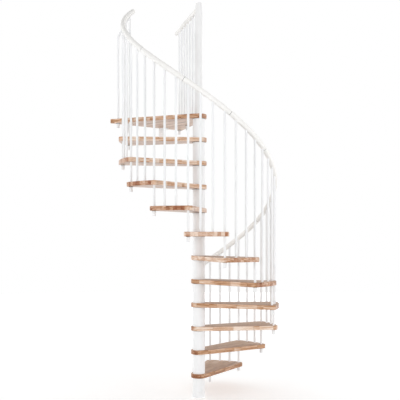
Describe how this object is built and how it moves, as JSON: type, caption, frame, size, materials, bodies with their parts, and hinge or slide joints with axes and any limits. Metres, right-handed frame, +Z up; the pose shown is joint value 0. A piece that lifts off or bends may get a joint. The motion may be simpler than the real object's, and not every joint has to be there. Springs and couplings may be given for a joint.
{
  "type": "spiral staircase",
  "caption": "Compact spiral staircase: wedge-shaped beech treads on a white steel column, slim balusters, a round helical handrail and a wedge landing with a short railing of its own.",
  "frame": {"origin": "centre of the floor plate's underside, on the column's axis", "axes": "+Z up along the column, +Y out through the landing's straight edge towards the upper floor"},
  "size_m": [1.424, 1.5138, 3.5464],
  "materials": {
    "beech": "clear satin lacquer",
    "column_coat": "white powder coat, satin",
    "baluster_coat": "white powder coat, satin",
    "handrail": "white coat, semi gloss",
    "joint_ring": "moulded grey",
    "foot": "moulded light grey"
  },
  "bodies": {
    "root": {"balusters_01": "baluster_coat", "balusters_02": "baluster_coat", "balusters_03": "baluster_coat", "balusters_04": "baluster_coat", "balusters_05": "baluster_coat", "balusters_06": "baluster_coat", "balusters_07": "baluster_coat", "balusters_08": "baluster_coat", "balusters_09": "baluster_coat", "balusters_10": "baluster_coat", "balusters_11": "baluster_coat", "centre_pole": "column_coat", "column_sleeves": "column_coat", "entry_foot": "foot", "floor_plate": "column_coat", "foot_cover": "column_coat", "handrail_joints": "joint_ring", "handrail_lower": "handrail", "handrail_middle": "handrail", "handrail_upper": "handrail", "landing": "beech", "landing_brackets": "column_coat", "landing_nosing_balusters": "baluster_coat", "landing_rail": "handrail", "landing_rail_balusters": "baluster_coat", "newel_cap": "column_coat", "newel_post": "column_coat", "rail_caps": "handrail", "stub_caps": "baluster_coat", "tread_01": "beech", "tread_02": "beech", "tread_03": "beech", "tread_04": "beech", "tread_05": "beech", "tread_06": "beech", "tread_07": "beech", "tread_08": "beech", "tread_09": "beech", "tread_10": "beech", "tread_11": "beech"}
  },
  "joints": []
}
